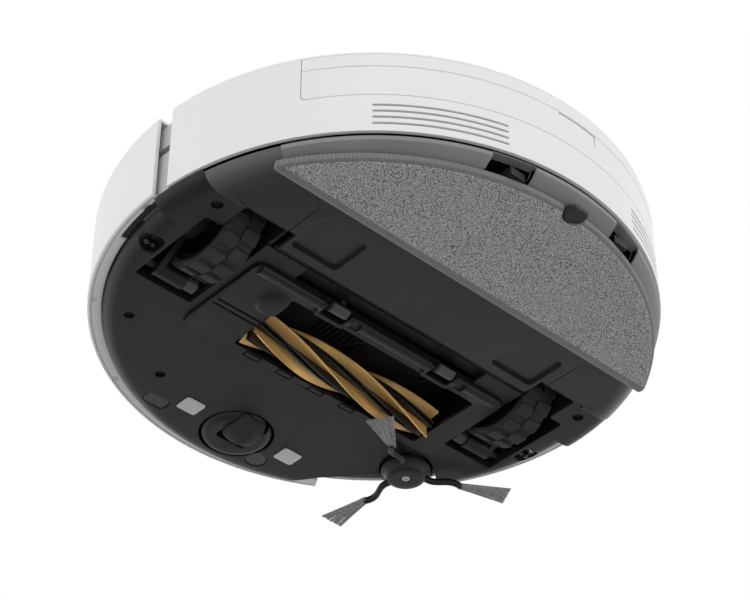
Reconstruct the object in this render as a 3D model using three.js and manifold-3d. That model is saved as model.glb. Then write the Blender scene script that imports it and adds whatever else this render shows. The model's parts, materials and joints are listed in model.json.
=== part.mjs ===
// Robot vacuum with a mop pad, as an assembly of separate pieces. Millimetres, +Z up.
// Every piece is drawn with z = 0 on the flat underside of the chassis and the origin on the body's
// vertical axis; one group lifts them all by the ground clearance, so that the floor is at z = 0.
// -Y is the front (bumper, caster), +Y the rear (tank, mop), +X the robot's own left.
import * as THREE from 'three';
import { mergeVertices } from 'three/addons/utils/BufferGeometryUtils.js';
import Module from 'manifold-3d';

const wasm = await Module();
wasm.setup();

// ---- driving dimensions ----
const GAP = 0.3;                  // air between pieces that touch
const CLEARANCE = 9.5;            // underside above the floor
const SEGMENTS = 64;              // facets round a full body circle

const BODY_R = 175;               // rear shell, outside
const SHELL_T = 2.5;              // wall of the white shells
const SHELL_Z = [8.6, 69.3];      // rear shell, bottom and top
const REAR_AZ = 85;               // rear shell reaches this far round from the rear, each side

const BUMPER_R = 175.4;
const BUMPER_Z = [9.7, 69.3];
const BUMPER_AZ = 89;             // bumper starts this far round from the rear
const LIP_R = 166.3;              // inner edge of the bumper's bottom lip
const LIP_T = 2;

const PAN_T = 3;                  // chassis floor thickness
const PAN_FRONT_R = 166;          // chassis edge behind the bumper
const PAN_SIDE_R = 173.6;         // chassis edge behind the bumper's ends
const PAN_CHAMFER = 10;           // rounded bottom edge, how far it runs inwards
const PAN_TOP = 8.3;
const SEAM_Y = 41;                // chassis ends here beside the wheel wells
const REAR_FRONT_Y = 24;          // rear base starts here between the wheel wells
const REAR_Z = -3.5;              // flat bottom of the rear base
const REAR_EDGE_R = 173.8;        // its rounded edge ends this far out
const REAR_X = 106.5;             // rear base between the wells, half width

const WELL_X = [105.5, 147];      // wheel well opening
const WELL_Y = [-48, 40];
const WELL_TOP = 62;
const WELL_STEP = [135.5, 18];    // the well narrows to this x behind this y
const WALL = 2;

const WHEEL = { x: 121.5, y: -4, z: 25.5, r: 35, width: 23 };
const TREAD = { blocks: 16, depth: 1.6 };
const ARM_PIVOT = { y: -41, z: 6.5, pinR: 2.6, sleeveR: 6 };

const COVER = { x: [-104.2, 99.7], y: [-64, 9.8], z: [-2, 0.8] };
const MOUTH = { x: [-88, 63], y: [-58, -3] };
const CHAMBER = { x: [-97, 71], y: [-61, -0.5], top: 23 };

const BRUSH = {
  y: -44.4, z: 5, r: 13, x: [-86.5, 62], ends: [-101, 70.4], coreR: 4.5, twist: 1.4, phase: -132.6,
};

const CASTER = { x: 0, y: -131, cupR: 24.5, wheelR: 14, half: 11, trail: 7 };
const SIDE = { x: -107, y: -85.3, hubR: 16.5, capR: 13, reach: 71, first: 33 };

const MOP = {
  frontY: 80, r: 178.7, centreY: -11.7, padZ: [-9.2, -5.7], plateZ: [-5.4, -3.8], notchR: 8, notchY: 168,
};
const TANK = { az: 56.3, z: [36.8, 69.1], x: 92, frontY: 62, floor: 38.2, top: 64.5 };
const COVER_TOP = { z: [69.6, 72], r: 174.6 };
const TURRET = { x: 0, y: 30, r: 45, scannerR: 29 };

// ---- colours ----
const finish = (color, roughness, metalness = 0) =>
  new THREE.MeshStandardMaterial({ color, roughness, metalness });
const WHITE = finish(0xe9eaec, 0.35);
const BLACK = finish(0x2b2b2c, 0.55);
const DARK = finish(0x1d1d1e, 0.6);
const GREY = finish(0x55565a, 0.6);
const RUBBER = finish(0x39393b, 0.85);
const COPPER = finish(0xc48b3c, 0.4, 0.2);
const CLOTH = finish(0x9b9b9d, 0.95);
const BRISTLE = finish(0x666668, 0.8);
const STEEL = finish(0xb8b8ba, 0.35, 1);
const LENS = finish(0x18181a, 0.1);
const TINT = finish(0x3a3d42, 0.2);
const BOARD = finish(0x1f5a3a, 0.6);

// ---- solids ----
// A three.js geometry as a solid: shared vertices are merged, so that joins and cuts work.
function solid(geometry) {
  const bare = geometry.clone();
  bare.deleteAttribute('normal');
  bare.deleteAttribute('uv');
  const merged = mergeVertices(bare, 1e-4);
  const made = new wasm.Manifold(new wasm.Mesh({
    numProp: 3,
    vertProperties: new Float32Array(merged.attributes.position.array),
    triVerts: new Uint32Array(merged.index.array),
  }));
  if (made.volume() <= 0) throw new Error('a solid has its faces pointing inwards');
  return made;
}

const join = (solids) => solids.reduce((a, b) => a.add(b));
const cut = (from, tools) => from.subtract(join(tools));

function box(x, y, z) {
  const g = new THREE.BoxGeometry(x[1] - x[0], y[1] - y[0], z[1] - z[0]);
  g.translate((x[0] + x[1]) / 2, (y[0] + y[1]) / 2, (z[0] + z[1]) / 2);
  return solid(g);
}

// A shape in the XY plane, raised from z[0] to z[1].
function raise(shape, z, arcSteps = 12) {
  const depth = z[1] - z[0];
  const g = new THREE.ExtrudeGeometry(shape, { depth, bevelEnabled: false, curveSegments: arcSteps });
  g.translate(0, 0, z[0]);
  return solid(g);
}

// A turned piece: its profile is a list of [radius, height], from the axis to the axis or closed on itself.
function turned(profile, centre = [0, 0], steps = 24) {
  const g = new THREE.LatheGeometry(profile.map(([r, z]) => new THREE.Vector2(r, z)), steps);
  g.rotateX(Math.PI / 2);
  g.translate(centre[0], centre[1], 0);
  return solid(g);
}

const disc = (r, z, centre = [0, 0], steps = 24) =>
  turned([[0, z[0]], [r, z[0]], [r, z[1]], [0, z[1]]], centre, steps);
const ring = (r, z, centre = [0, 0], steps = 24) =>
  turned([[r[0], z[0]], [r[1], z[0]], [r[1], z[1]], [r[0], z[1]], [r[0], z[0]]], centre, steps);

// The same two, lying along X.
function turnedX(profile, y, z, steps = 32) {
  const g = new THREE.LatheGeometry(profile.map(([r, x]) => new THREE.Vector2(r, x)), steps);
  g.rotateZ(-Math.PI / 2);
  g.translate(0, y, z);
  return solid(g);
}
const rodX = (r, x, y, z, steps = 24) => turnedX([[0, x[0]], [r, x[0]], [r, x[1]], [0, x[1]]], y, z, steps);
const ringX = (r, x, y, z, steps = 24) =>
  turnedX([[r[0], x[0]], [r[1], x[0]], [r[1], x[1]], [r[0], x[1]], [r[0], x[0]]], y, z, steps);

const rad = THREE.MathUtils.degToRad;

// A curved wall between two radii, from azimuth az[0] to az[1], in degrees from the rear towards +X.
function arcWall(r, az, z) {
  const a0 = rad(90 - az[1]);
  const a1 = rad(90 - az[0]);
  const shape = new THREE.Shape();
  shape.absarc(0, 0, r[1], a0, a1, false);
  shape.absarc(0, 0, r[0], a1, a0, true);
  shape.closePath();
  const steps = Math.max(2, Math.ceil(((az[1] - az[0]) / 360) * SEGMENTS / 2));
  return raise(shape, z, steps);
}

function polygon(points) {
  return new THREE.Shape(points.map(([x, y]) => new THREE.Vector2(x, y)));
}

function roundedBox(x, y, z, r) {
  const s = new THREE.Shape();
  s.moveTo(x[0] + r, y[0]);
  s.lineTo(x[1] - r, y[0]);
  s.absarc(x[1] - r, y[0] + r, r, -Math.PI / 2, 0, false);
  s.lineTo(x[1], y[1] - r);
  s.absarc(x[1] - r, y[1] - r, r, 0, Math.PI / 2, false);
  s.lineTo(x[0] + r, y[1]);
  s.absarc(x[0] + r, y[1] - r, r, Math.PI / 2, Math.PI, false);
  s.lineTo(x[0], y[0] + r);
  s.absarc(x[0] + r, y[0] + r, r, Math.PI, Math.PI * 1.5, false);
  return raise(s, z, 3);
}

// ---- the scene graph ----
const robot = new THREE.Group();
robot.position.z = CLEARANCE;

function piece(name, shape, material) {
  const mesh = shape.getMesh();
  const g = new THREE.BufferGeometry();
  g.setAttribute('position', new THREE.BufferAttribute(mesh.vertProperties, 3));
  g.setIndex(new THREE.BufferAttribute(mesh.triVerts, 1));
  g.computeVertexNormals();
  const made = new THREE.Mesh(g, material);
  made.name = name;
  robot.add(made);
  return made;
}

const SIDES = [['left', 1], ['right', -1]];
const span = (sign, lo, hi) => (sign > 0 ? [lo, hi] : [-hi, -lo]);
const grow = (range, by) => [range[0] - by, range[1] + by];

// ---- chassis base ----
// A pan with a rounded bottom edge: smaller behind the bumper, full size beside the wheels.
function pan(edgeR) {
  const c = PAN_CHAMFER;
  return turned([
    [0, 0], [edgeR - c, 0], [edgeR - 0.5 * c, 1.3], [edgeR - 0.18 * c, 3.8], [edgeR, PAN_TOP],
    [edgeR - 2.5, PAN_TOP], [edgeR - 0.45 * c - 2, PAN_T + 1.2], [edgeR - c - 1, PAN_T], [0, PAN_T],
  ], [0, 0], SEGMENTS);
}

function wellOpening(sign, z, by = 0) {
  const wide = box(grow(span(sign, WELL_X[0], WELL_X[1]), by), [WELL_Y[0] - by, WELL_STEP[1] + by], z);
  const narrow = box(grow(span(sign, WELL_X[0], WELL_STEP[0]), by), [WELL_STEP[1], WELL_Y[1] + by], z);
  return wide.add(narrow);
}

// The floor is cut back round the side brush, along two chords and a circle.
function sideBrushCut() {
  const wedge = raise(polygon([
    [-60, -150], [-71, -133], [-95, -106], [SIDE.x, SIDE.y],
    [-118, -70.5], [-130, -80.5], [-200, -110], [-110, -200],
  ]), [-1, 12]);
  return wedge.add(disc(17.6, [-1, 12], [SIDE.x, SIDE.y]));
}

function chassisBase() {
  const rearHalf = pan(PAN_SIDE_R).intersect(box([-180, 180], [3, SEAM_Y], [-1, 20]));
  const frontHalf = pan(PAN_FRONT_R).intersect(box([-180, 180], [-180, 3], [-1, 20]));
  let body = frontHalf.add(rearHalf);
  body = cut(body, [box([-REAR_X - GAP, REAR_X + GAP], [REAR_FRONT_Y - 0.5, 60], [-1, 20]), sideBrushCut()]);
  for (const [, s] of SIDES) {
    body = body.add(wellOpening(s, [1, WELL_TOP + WALL], WALL));
  }
  body = body.add(box(grow(CHAMBER.x, WALL), grow(CHAMBER.y, WALL), [1, CHAMBER.top + WALL]));
  body = body.add(disc(CASTER.cupR + WALL, [1, 25], [CASTER.x, CASTER.y]));
  body = body.add(ring([17.9, 20], [0.5, 14], [SIDE.x, SIDE.y]));
  body = body.add(disc(20, [12.3, 14], [SIDE.x, SIDE.y]));
  body = body.add(box([-74, 74], [11, 23], [5, 7.5]));
  body = body.add(box([-76, -74], [11, 23], [2, 7.5])).add(box([74, 76], [11, 23], [2, 7.5]));
  const holes = [
    box(grow(COVER.x, GAP), grow(COVER.y, GAP), [-1, 1.1]),
    box([-74, 74], [COVER.y[1] + GAP, 23], [-1, 5]),
    box(CHAMBER.x, CHAMBER.y, [-1, CHAMBER.top]),
    box([-28, 28], [-8, 4], [8, 18]),
    rodX(4.2, [-102, -96], BRUSH.y, BRUSH.z),
    disc(CASTER.cupR, [-1, 23], [CASTER.x, CASTER.y]),
    disc(4.4, [22, 26], [CASTER.x, CASTER.y]),
    disc(3.4, [11, 15], [SIDE.x, SIDE.y]),
    roundedBox([149.5, 160.5], [-31, -14], [-1, 2.4], 3),
    roundedBox([-160.5, -149.5], [-31, -14], [-1, 2.4], 3),
    roundedBox([51.5, 68.5], [-143.5, -133], [-1, 1.6], 3),
    disc(7, [-1, 1.8], [-28, -144.5], 20),
    disc(3.4, [-1, 1.8], [149, 30.4], 16),
    disc(3.4, [-1, 1.8], [-149, 30.4], 16),
    disc(3, [-1, 1.8], [125, -82], 16),
    disc(3, [-1, 1.8], [75, -115], 16),
  ];
  for (const [, s] of SIDES) {
    holes.push(wellOpening(s, [-1, WELL_TOP]));
    holes.push(roundedBox(span(s, 32.7, 48.3), [-134.3, -120.2], [-1, 4], 2));
    holes.push(rodX(ARM_PIVOT.pinR + 0.1, span(s, 104, 149.5), ARM_PIVOT.y, ARM_PIVOT.z, 16));
  }
  piece('chassis_base', cut(body, holes), BLACK);
}

// ---- rear base: the flat module that carries the mop ----
function rearBase() {
  const floorZ = [REAR_Z, REAR_Z + 3];
  const bowl = turned([
    [0, floorZ[0]], [160, floorZ[0]], [165.5, -2.4], [169.6, 0.4], [172.4, 4.2], [REAR_EDGE_R, PAN_TOP],
    [REAR_EDGE_R - 3, PAN_TOP], [169.4, 4.8], [166.8, 2], [161, floorZ[1]], [0, floorZ[1]],
  ], [0, 0], SEGMENTS);
  const wide = bowl.intersect(box([-180, 180], [SEAM_Y + GAP, 180], [-5, 20]));
  const middle = box([-REAR_X, REAR_X], [REAR_FRONT_Y + 6, 60], floorZ);
  const slope = new THREE.ExtrudeGeometry(
    polygon([
      [REAR_FRONT_Y, 0.3], [REAR_FRONT_Y + 6.2, REAR_Z], [REAR_FRONT_Y + 6.2, floorZ[1]], [REAR_FRONT_Y, 3],
    ]),
    { depth: 2 * REAR_X, bevelEnabled: false });
  slope.rotateY(Math.PI / 2);
  slope.rotateX(Math.PI / 2);
  slope.translate(-REAR_X, 0, 0);
  const body = join([wide, middle, solid(slope)]);
  const holes = [];
  for (const [, s] of SIDES) {
    holes.push(roundedBox(span(s, 64, 99), [35.5, 65], [REAR_Z - 1, REAR_Z + 1.4], 2));
    holes.push(box(span(s, 33, 60), [152, 180], [REAR_Z - 1, 6.5]));
    holes.push(wellOpening(s, [-5, 12], 2 * WALL));
  }
  piece('rear_base', cut(body, holes), BLACK);
}

// ---- white shells ----
function rearShell() {
  const r = [BODY_R - SHELL_T, BODY_R];
  const wall = arcWall(r, [-REAR_AZ, REAR_AZ], SHELL_Z);
  const holes = [arcWall([165, 180], [-TANK.az - 0.15, TANK.az + 0.15], [TANK.z[0] - GAP, 80])];
  for (const z of [14.5, 19.3, 24, 28.6]) {
    holes.push(arcWall([165, 180], [17, 43], [z - 0.8, z + 0.8]));
    holes.push(arcWall([165, 180], [-43, -17], [z - 0.8, z + 0.8]));
  }
  piece('rear_shell', cut(wall, holes), WHITE);
}

function topCover() {
  const [low, high] = COVER_TOP.z;
  const r = COVER_TOP.r;
  const plate = turned([[0, low], [r, low], [r, high - 1.2], [r - 1.4, high], [0, high]], [0, 0], SEGMENTS);
  const holes = [disc(TURRET.r + 2, [60, 80], [TURRET.x, TURRET.y], 48)];
  for (const x of [-15, 15]) holes.push(disc(7.4, [60, 80], [x, -118], 24));
  piece('top_cover', cut(plate, holes), WHITE);
  for (const [name, x] of [['home_button', -15], ['power_button', 15]]) {
    piece(name, turned([[0, 69], [7, 69], [7, 72.1], [6.4, 72.6], [0, 72.6]], [x, -118], 24), WHITE);
  }
}

// The inner wall that carries the bumper, with a pillar on each side that closes the gap at its ends.
function frontFrame() {
  const wall = arcWall([158.6, 161.4], [82, 278], [8.7, 66]);
  const pillars = [];
  const slots = [];
  for (const s of [1, -1]) {
    const az = s > 0 ? [81, 97] : [263, 279];
    const slotAz = s > 0 ? [80, 92] : [268, 280];
    pillars.push(arcWall([159, 170], az, [12.6, 66]));
    slots.push(arcWall([164, 171], slotAz, [44, 49]));
  }
  piece('front_frame', cut(join([wall, ...pillars]), slots), GREY);
}

function bumper() {
  const az = [BUMPER_AZ, 360 - BUMPER_AZ];
  const wall = arcWall([BUMPER_R - SHELL_T, BUMPER_R], az, BUMPER_Z);
  const lip = arcWall([LIP_R, BUMPER_R - 0.2], az, [BUMPER_Z[0], BUMPER_Z[0] + LIP_T]);
  const brushGap = raise(polygon([
    [-72.5, -128], [-95, -168], [-115, -190], [-190, -110], [-160, -94], [-118, -70.5],
  ]), [5, 19]);
  piece('bumper_shell', cut(wall.add(lip), [brushGap]), WHITE);
}

// ---- tank drawer ----
function tank() {
  const r = [BODY_R - SHELL_T, BODY_R];
  const button = { az: [-5, 5], z: [50, 59] };
  const face = arcWall(r, [-TANK.az, TANK.az], TANK.z);
  piece('tank_fascia', cut(face, [arcWall([165, 180], button.az, button.z)]), WHITE);
  piece('tank_release', arcWall([168.6, 174.5], [button.az[0] + 0.12, button.az[1] - 0.12],
    [button.z[0] + GAP, button.z[1] - GAP]), WHITE);

  const roundEnd = (rr, z) => disc(rr, z, [0, 0], SEGMENTS);
  const outer = box([-TANK.x, TANK.x], [TANK.frontY, 180], [TANK.floor, TANK.top])
    .intersect(roundEnd(172.2, [TANK.floor, TANK.top]));
  const inner = box([-TANK.x + 2.5, TANK.x - 2.5], [TANK.frontY + 2.5, 180], [TANK.floor + 2.5, TANK.top + 5])
    .intersect(roundEnd(162, [TANK.floor + 2.5, TANK.top + 5]));
  const pocket = box([-17, 17], [165.5, 180], [48, 61]);
  const inlet = box([-24, 24], [TANK.frontY - 1, TANK.frontY + 4], [44, 60]);
  piece('tank_body', cut(outer, [inner, pocket, inlet]), TINT);

  const lid = box([-TANK.x, TANK.x], [TANK.frontY, 180], [TANK.top + GAP, TANK.top + 2.6])
    .intersect(roundEnd(172.2, [60, 70]));
  piece('tank_lid', lid, BLACK);
  piece('filter', box([40, 84], [70, 84], [TANK.floor + 2.8, TANK.top - 2]), GREY);
}

// ---- scanner turret and its sprung cap ----
function turret() {
  const c = [TURRET.x, TURRET.y];
  let base = disc(TURRET.r + 1.6, [69.6, 74.5], c, 48);
  for (let i = 0; i < 4; i += 1) {
    const a = rad(45 + 90 * i);
    base = base.add(disc(2.4, [74, 83.6], [c[0] + 41 * Math.cos(a), c[1] + 41 * Math.sin(a)], 12));
  }
  piece('turret_base', base, DARK);
  const scanner = disc(TURRET.scannerR, [74.8, 83], c, 32);
  const windows = [
    box([c[0] - 14, c[0] - 2], [c[1] + 20, c[1] + 40], [76.5, 81.5]),
    box([c[0] + 4, c[0] + 14], [c[1] + 20, c[1] + 40], [76.5, 81.5]),
  ];
  piece('scanner', cut(scanner, windows), BLACK);
  const cap = turned([[0, 85.6], [TURRET.r, 85.6], [TURRET.r, 87], [TURRET.r - 1.2, 88], [0, 88]], c, 48);
  piece('turret_cap', cap, WHITE);
}

// ---- brush cover, its clips and the comb above the brush ----
const CLIPS = [['left', 36.5], ['right', -51.5]];

function brushCover() {
  let plate = roundedBox(COVER.x, COVER.y, COVER.z, 5);
  plate = plate.add(box([COVER.x[0] + 6, COVER.x[1] - 4], [4, COVER.y[1]], [-3.4, COVER.z[1]]));
  const holes = [box(MOUTH.x, MOUTH.y, [-5, 5])];
  for (const [, x] of CLIPS) holes.push(box([x - 9, x + 9], [1, 12], [-5, 5]));
  for (let x = 46; x > -80; x -= 26) holes.push(box([x - 5, x + 5], [-62, -57], [-5, 5]));
  for (const y of [-46, -37]) holes.push(box([70, 95], [y - 1.2, y + 1.2], [-2.5, -1.2]));
  piece('brush_cover', cut(plate, holes), BLACK);
  for (const [name, x] of CLIPS) {
    const tab = box([x - 7.5, x + 7.5], [4.2, 12.5], [-3.6, 0.6]);
    const grip = box([x - 7.5, x + 7.5], [8, 14.5], [-3.6, -1.6]);
    piece(`cover_clip_${name}`, tab.add(grip), GREY);
  }
}

function combInsert() {
  let body = box([-86, 62], [-57, -22], [20.6, 22.7]);
  for (let x = -58; x < 62; x += 57) {
    const rib = new THREE.BoxGeometry(46, 1.6, 3);
    rib.rotateZ(-rad(52));
    rib.translate(x, -38, 19.8);
    body = body.add(solid(rib).intersect(box([-86, 62], [-56, -22], [10, 30])));
  }
  for (let i = 0; i < 9; i += 1) {
    body = body.add(box([-14 + 4 * i, -12.6 + 4 * i], [-40, -24], [18.7, 21]));
  }
  piece('comb_insert', body, DARK);
}

// ---- main brush ----
// A flat strip from radius r[0] to r[1] along the brush, wound round its axis.
function woundStrip(r, thickness, turnOffset, steps = 16) {
  const [x0, x1] = BRUSH.x;
  const g = new THREE.BoxGeometry(x1 - x0 - 2, r[1] - r[0], thickness, steps, 1, 1);
  g.translate((x0 + x1) / 2, (r[0] + r[1]) / 2, 0);
  const p = g.attributes.position;
  for (let i = 0; i < p.count; i += 1) {
    // the strip's direction is counted from straight down towards the front
    const a = rad(BRUSH.phase + 90 - BRUSH.twist * (p.getX(i) - 6) + turnOffset);
    const out = p.getY(i);
    const side = p.getZ(i);
    p.setY(i, -out * Math.sin(a) + side * Math.cos(a));
    p.setZ(i, -out * Math.cos(a) - side * Math.sin(a));
  }
  g.translate(0, BRUSH.y, BRUSH.z);
  return solid(g);
}

function mainBrush() {
  let core = rodX(BRUSH.coreR, BRUSH.x, BRUSH.y, BRUSH.z);
  core = core.add(rodX(3.8, [BRUSH.ends[0], 0], BRUSH.y, BRUSH.z, 12));
  core = core.add(rodX(2.5, [0, BRUSH.ends[1]], BRUSH.y, BRUSH.z, 16));
  for (let i = 0; i < 4; i += 1) core = core.add(woundStrip([3.5, 8.2], 2.6, 45 + 90 * i, 13));
  piece('brush_core', core, DARK);
  for (let i = 0; i < 4; i += 1) {
    piece(`brush_blade_${i + 1}`, woundStrip([BRUSH.coreR + GAP, BRUSH.r], 1.3, 90 * i), COPPER);
  }
  const bearing = box([66, 70.7], [BRUSH.y - 6, BRUSH.y + 6], [1.2, BRUSH.z + 6]);
  piece('brush_bearing', cut(bearing, [rodX(2.9, [60, 75], BRUSH.y, BRUSH.z, 16)]), GREY);
  const gearbox = box([-103.2, -99.3], [BRUSH.y - 3.4, BRUSH.y + 14], [3.4, 52]);
  const motor = rodX(12, [-100, -50], BRUSH.y + 3, 38.5, 24);
  piece('brush_motor', cut(gearbox.add(motor), [rodX(4.4, [-101.6, -98], BRUSH.y, BRUSH.z, 16)]), GREY);
}

// ---- drive wheels ----
function driveWheel(name, s) {
  const { x, y, z, r, width } = WHEEL;
  const across = (lo, hi) => span(s, x + lo, x + hi);
  const half = width / 2;

  const columns = [0, 1].map((column) => {
    const tread = new THREE.Shape();
    const pitch = (2 * Math.PI) / TREAD.blocks;
    for (let i = 0; i < TREAD.blocks; i += 1) {
      const a = (i + column / 2) * pitch;
      const corners = [[r - TREAD.depth, 0.5], [r, 0.56], [r, 0.78], [r, 1], [r - TREAD.depth, 1.06]];
      for (const [cr, part] of corners) {
        const around = a + (part - 0.5) * pitch * 1.7;
        const at = [cr * Math.cos(around), cr * Math.sin(around)];
        if (i === 0 && part === 0.5) tread.moveTo(...at);
        else tread.lineTo(...at);
      }
    }
    const bore = new THREE.Path();
    bore.absarc(0, 0, r - 5, 0, 2 * Math.PI, true);
    tread.holes.push(bore);
    const g = new THREE.ExtrudeGeometry(tread, { depth: half, bevelEnabled: false, curveSegments: 14 });
    g.rotateX(Math.PI / 2);
    g.rotateZ(Math.PI / 2);
    g.translate(s * x + (column ? 0 : -half), y, z);
    return solid(g);
  });
  const tyre = join(columns);
  piece(`${name}_tyre`, tyre, RUBBER);

  const rim = cut(rodX(r - 5 - GAP, across(-9, 9), y, z, 28), [ringX([9, 25], across(3, 10), y, z, 24)]);
  piece(`${name}_hub`, rim.add(rodX(4, across(0, 24), y, z, 16)), BLACK);

  const { y: py, z: pz, pinR, sleeveR } = ARM_PIVOT;
  const plateX = span(s, 134.6, 138.6);
  const gearProfile = s > 0
    ? [[0, 138], [17.5, 138], [17.5, 142], [14, 144.4], [0, 144.4]]
    : [[0, -144.4], [14, -144.4], [17.5, -142], [17.5, -138], [0, -138]];
  const dome = rodX(17.5, plateX, y, z).add(turnedX(gearProfile, y, z, 24));
  const link = new THREE.BoxGeometry(4, Math.hypot(y - py, z - pz), 11);
  link.rotateX(Math.atan2(z - pz, y - py));
  link.translate((plateX[0] + plateX[1]) / 2, (y + py) / 2, (z + pz) / 2);
  const sleeve = rodX(sleeveR, span(s, 117, 138.6), py, pz);
  const arm = cut(join([dome, solid(link), sleeve]), [
    rodX(pinR + 0.4, span(s, 110, 150), py, pz, 16),
    rodX(4.3, span(s, 130, 150), y, z, 16),
  ]);
  piece(`${name}_arm`, arm, BLACK);
  piece(`${name}_pivot_pin`, rodX(pinR, span(s, 105, 148), py, pz, 16), STEEL);
  piece(`${name}_spring`, ringX([pinR + 0.6, 5], span(s, 108.5, 116.6), py, pz, 20), STEEL);
}

// ---- caster ----
function caster() {
  const c = [CASTER.x, CASTER.y];
  const wheelZ = CASTER.wheelR - CLEARANCE;
  const outer = turned([
    [0, -1.2], [18, -2.4], [21, -1.8], [CASTER.cupR - 1.6, 0.6], [CASTER.cupR - 1.6, 21.4],
    [4, 21.4], [4, 27], [0, 27],
  ], c, 32);
  const axleY = c[1] + CASTER.trail;
  const slot = box([c[0] - 11.6, c[0] + 11.6], [axleY - 15, axleY + 14.6], [-5, 19.6]);
  const pin = rodX(2.2, [c[0] - 15.4, c[0] + 15.4], axleY, wheelZ, 16);
  piece('caster_fork', cut(outer, [slot, pin]), BLACK);
  const { wheelR: r, half } = CASTER;
  const profile = [
    [0, -half], [r - 4.5, -half], [r - 1.4, -half + 3], [r, -half + 7], [r, half - 7], [r - 1.4, half - 3],
    [r - 4.5, half], [0, half],
  ];
  const wheel = turnedX(profile, axleY, wheelZ, 32);
  piece('caster_wheel', wheel.add(rodX(1.9, [c[0] - 15, c[0] + 15], axleY, wheelZ, 16)), RUBBER);
}

// ---- side brush ----
// A bar that leaves the hub in direction a, from r[0] to r[1].
// halfWidth and z follow the distance from the hub.
function sideBar(r, a, halfWidth, zAt, thickness, steps) {
  const g = new THREE.BoxGeometry(r[1] - r[0], 2, 1, steps, 1, 1);
  g.translate((r[0] + r[1]) / 2, 0, 0);
  const p = g.attributes.position;
  for (let i = 0; i < p.count; i += 1) {
    const along = p.getX(i);
    p.setY(i, p.getY(i) * halfWidth(along));
    p.setZ(i, zAt(along) + p.getZ(i) * thickness(along));
  }
  g.rotateZ(a);
  g.translate(SIDE.x, SIDE.y, 0);
  return solid(g);
}

function sideBrush() {
  const c = [SIDE.x, SIDE.y];
  const { hubR, capR } = SIDE;
  let hub = turned([
    [0, -8.4], [capR - 1.5, -8.4], [capR, -7.6], [capR + 1.2, -4.5], [hubR, -2.6], [hubR, -0.6],
    [3, -0.6], [3, 13.4], [0, 13.4],
  ], c, 30);
  piece('side_brush_screw', disc(2.9, [-8.3, -6.9], c, 12), STEEL);
  for (let i = 0; i < 3; i += 1) {
    const a = rad(SIDE.first + 120 * i);
    hub = hub.add(sideBar([12, 38], a, (r) => 3.2 + r * 0.02, (r) => -3.9 - r * 0.08, () => 3, 3));
    const tuft = sideBar([38.3, SIDE.reach - 0.6], a, (r) => 3 + (r - 38.3) * 0.19,
      (r) => Math.max(-8.85, -7.2 - (r - 38.3) * 0.4), (r) => Math.max(0.9, 2 - (r - 38.3) * 0.3), 8);
    piece(`side_brush_tuft_${i + 1}`, tuft, BRISTLE);
  }
  piece('side_brush_hub', cut(hub, [disc(3.2, [-9, -6.6], c, 16)]), BLACK);
  piece('side_brush_motor', disc(13, [14.3, 36], c, 24), STEEL);
}

// ---- mop ----
function halfMoon(r, frontY, z, notchR) {
  const moon = disc(r, z, [0, MOP.centreY], SEGMENTS).intersect(box([-180, 180], [frontY, 180], [-20, 20]));
  const round = disc(notchR, [-20, 20], [0, MOP.notchY], 24);
  return cut(moon, [round, box([-notchR, notchR], [MOP.notchY, 180], [-20, 20])]);
}

function mop() {
  piece('mop_pad', halfMoon(MOP.r, MOP.frontY, MOP.padZ, MOP.notchR), CLOTH);
  piece('mop_plate', halfMoon(MOP.r - 1, MOP.frontY + 1.5, MOP.plateZ, MOP.notchR), BLACK);
  const catchBody = disc(MOP.notchR - 0.5, [-8.6, -5.7], [0, MOP.notchY], 24);
  piece('mop_release', catchBody.intersect(box([-20, 20], [150, 173], [-10, 0])), DARK);
  for (const [name, s] of SIDES) {
    piece(`mop_latch_${name}`, box(span(s, 37, 48), [154, 164.5], [-3.4, 2]), GREY);
  }
}

// ---- small parts on the underside ----
function smallParts() {
  for (const [name, s] of SIDES) {
    piece(`charge_contact_${name}`, roundedBox(span(s, 33, 48), [-134, -120.5], [-0.6, 3.4], 1.8), STEEL);
    piece(`cliff_lens_${name}`, roundedBox(span(s, 150, 155.5), [-30, -15], [0.6, 2.1], 2), LENS);
  }
  piece('cliff_lens_front', roundedBox([52, 68], [-143, -133.5], [0.4, 1.3], 2.4), LENS);
  piece('carpet_sensor', disc(6.6, [0.5, 1.5], [-28, -144.5], 20), LENS);
}

// ---- inside ----
function inside() {
  piece('battery', box([-66, 66], [-102, -67], [5, 27]), GREY);
  piece('main_board', box([-70, 70], [-120, -20], [52, 53.6]), BOARD);
  piece('suction_fan', turned([[0, 0.2], [31, 0.2], [31, 24], [20, 34], [0, 34]], [62, 106], 32), GREY);
  // the air path from the brush chamber up to the tank's mouth
  const path = polygon([[4, 7.8], [30, 7.8], [61.4, 42], [61.4, 62], [56, 62], [24, 20], [4, 20]]);
  const bore = polygon([[0, 9.8], [29, 9.8], [65, 48.5], [65, 59], [56, 59], [25, 18], [0, 18]]);
  const along = (shape, halfWidth) => {
    const g = new THREE.ExtrudeGeometry(shape, { depth: 2 * halfWidth, bevelEnabled: false });
    g.rotateY(Math.PI / 2);
    g.rotateX(Math.PI / 2);
    g.translate(-halfWidth, 0, 0);
    return solid(g);
  };
  piece('suction_duct', cut(along(path, 27), [along(bore, 25)]), BLACK);
}

chassisBase();
rearBase();
rearShell();
topCover();
frontFrame();
bumper();
tank();
turret();
brushCover();
combInsert();
mainBrush();
for (const [name, s] of SIDES) driveWheel(name, s);
caster();
sideBrush();
mop();
smallParts();
inside();

export default robot;
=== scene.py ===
# Robot vacuum with a mop pad, seen from below. Shapes are drawn in millimetres with z = 0 on the
# flat underside, as in the part, and put in place in metres when a piece is finished.
import json
import math
import random

import bmesh
import bpy
from mathutils import Matrix, Vector, noise


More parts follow.
